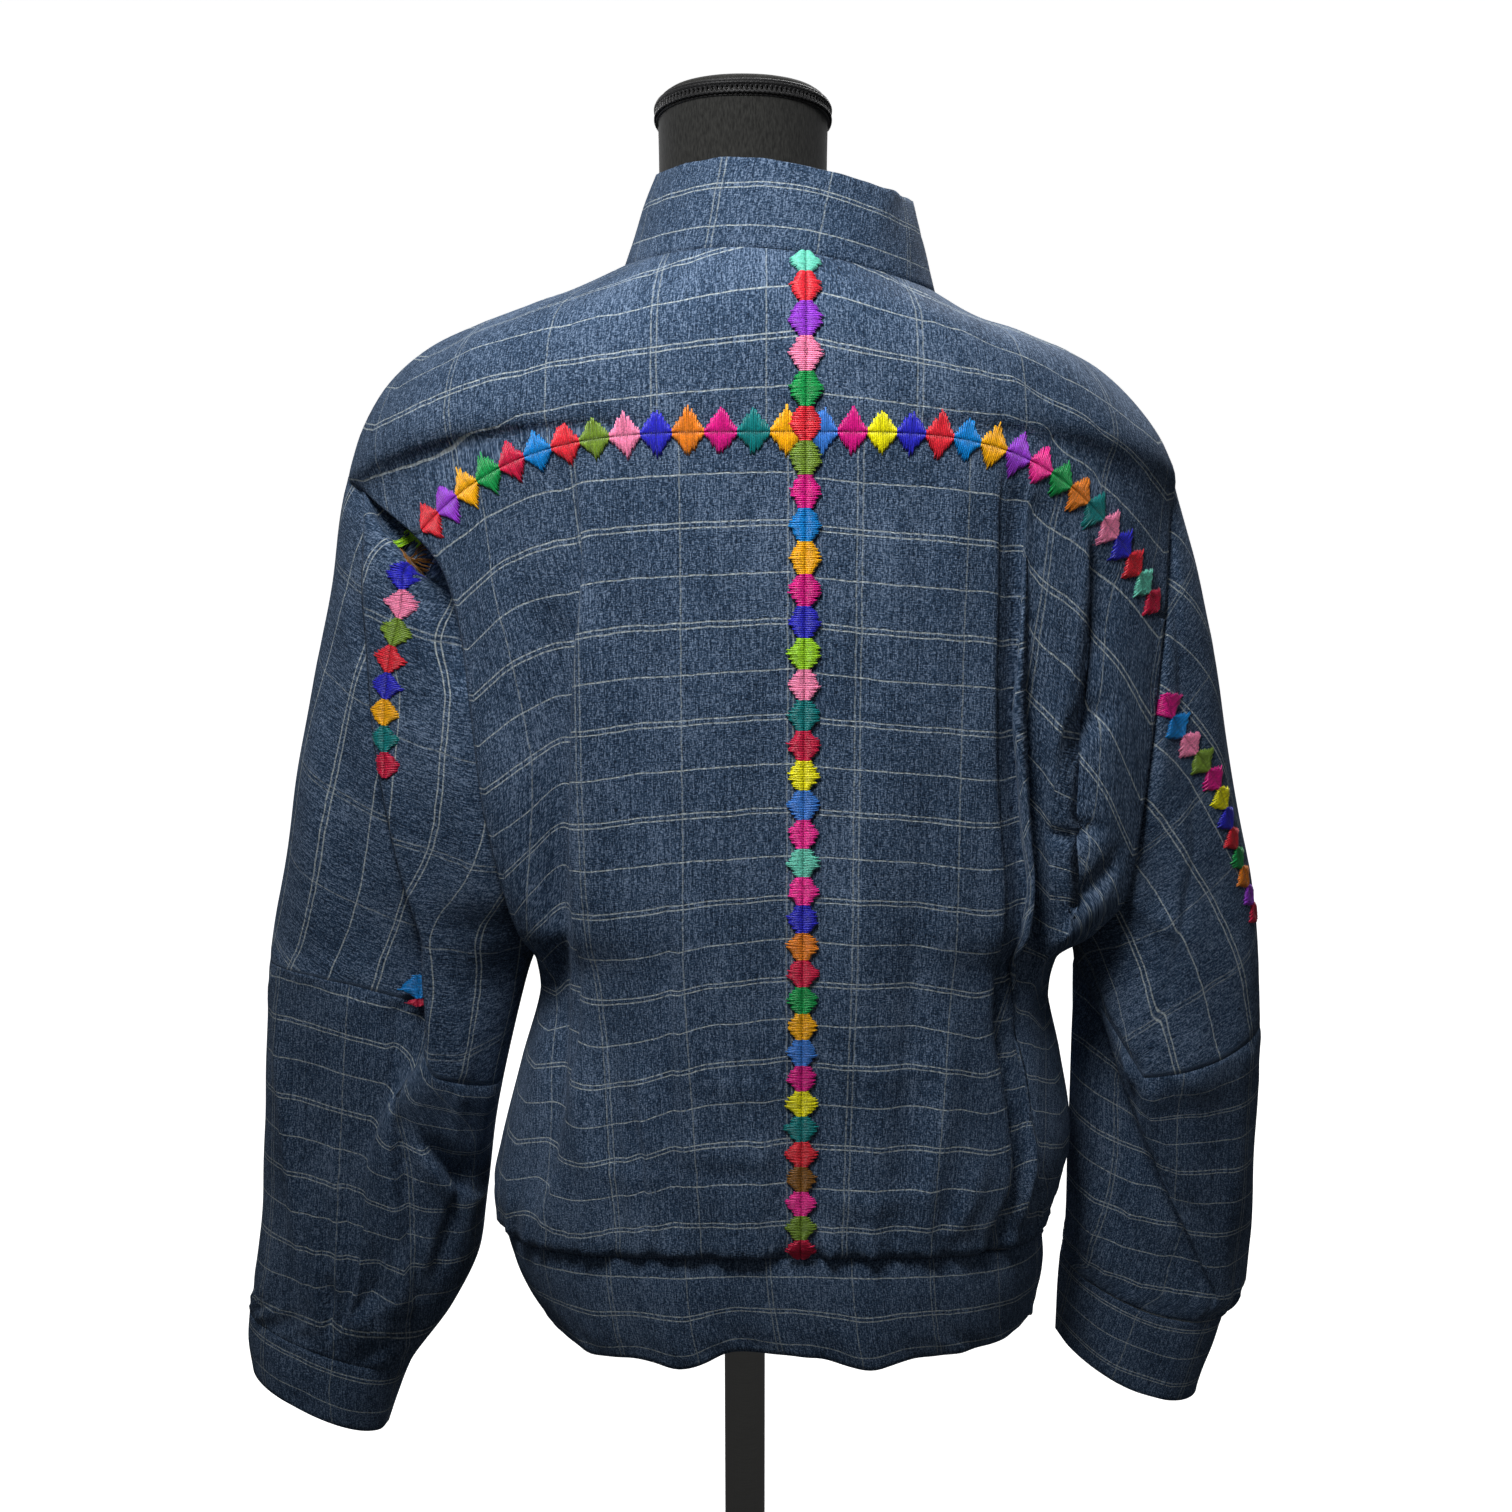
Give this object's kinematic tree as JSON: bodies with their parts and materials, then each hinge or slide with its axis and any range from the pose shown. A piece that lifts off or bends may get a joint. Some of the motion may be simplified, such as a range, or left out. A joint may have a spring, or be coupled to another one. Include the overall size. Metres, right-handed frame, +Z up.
{
  "type": "embroidered blouson jacket on a limbless dress form",
  "caption": "Loose waist-length blouson jacket with stand collar, dolman sleeves and chains of embroidered diamonds along its back seams, worn by a limbless dress form on a stand.",
  "frame": {"origin": "middle of the underside of the stand's base, on the floor", "axes": "+Z up; the jacket's back faces -Y and its front +Y; +X is the wearer's right, the right of a view of the back"},
  "size_m": [0.7044, 0.3, 1.1156],
  "materials": {
    "indigo_cloth": "matt handloom cotton",
    "satin_thread": "glossy embroidery floss",
    "button_resin": "satin",
    "form_cloth": "matt knitted cover",
    "gimp_braid": "soft sheen",
    "powder_coat": "fine satin powder coat",
    "brushed_steel": "brushed"
  },
  "bodies": {
    "root": {"back_upper_left": "indigo_cloth", "back_upper_right": "indigo_cloth", "back_lower_left": "indigo_cloth", "back_lower_right": "indigo_cloth", "front_left": "indigo_cloth", "front_right": "indigo_cloth", "sleeve_upper_left": "indigo_cloth", "sleeve_upper_right": "indigo_cloth", "sleeve_lower_left": "indigo_cloth", "sleeve_lower_right": "indigo_cloth", "cuff_left": "indigo_cloth", "cuff_right": "indigo_cloth", "collar": "indigo_cloth", "waistband": "indigo_cloth", "chain_centre_back": "satin_thread", "chain_back_left": "satin_thread", "chain_back_right": "satin_thread", "chain_sleeve_left": "satin_thread", "chain_sleeve_right": "satin_thread", "button_band": "indigo_cloth", "button_1": "button_resin", "button_2": "button_resin", "button_3": "button_resin", "button_4": "button_resin", "button_5": "button_resin", "button_6": "button_resin", "button_7": "button_resin", "dress_form": "form_cloth", "neck_braid": "gimp_braid", "stand_base": "powder_coat", "stand_pole": "brushed_steel"}
  },
  "joints": []
}
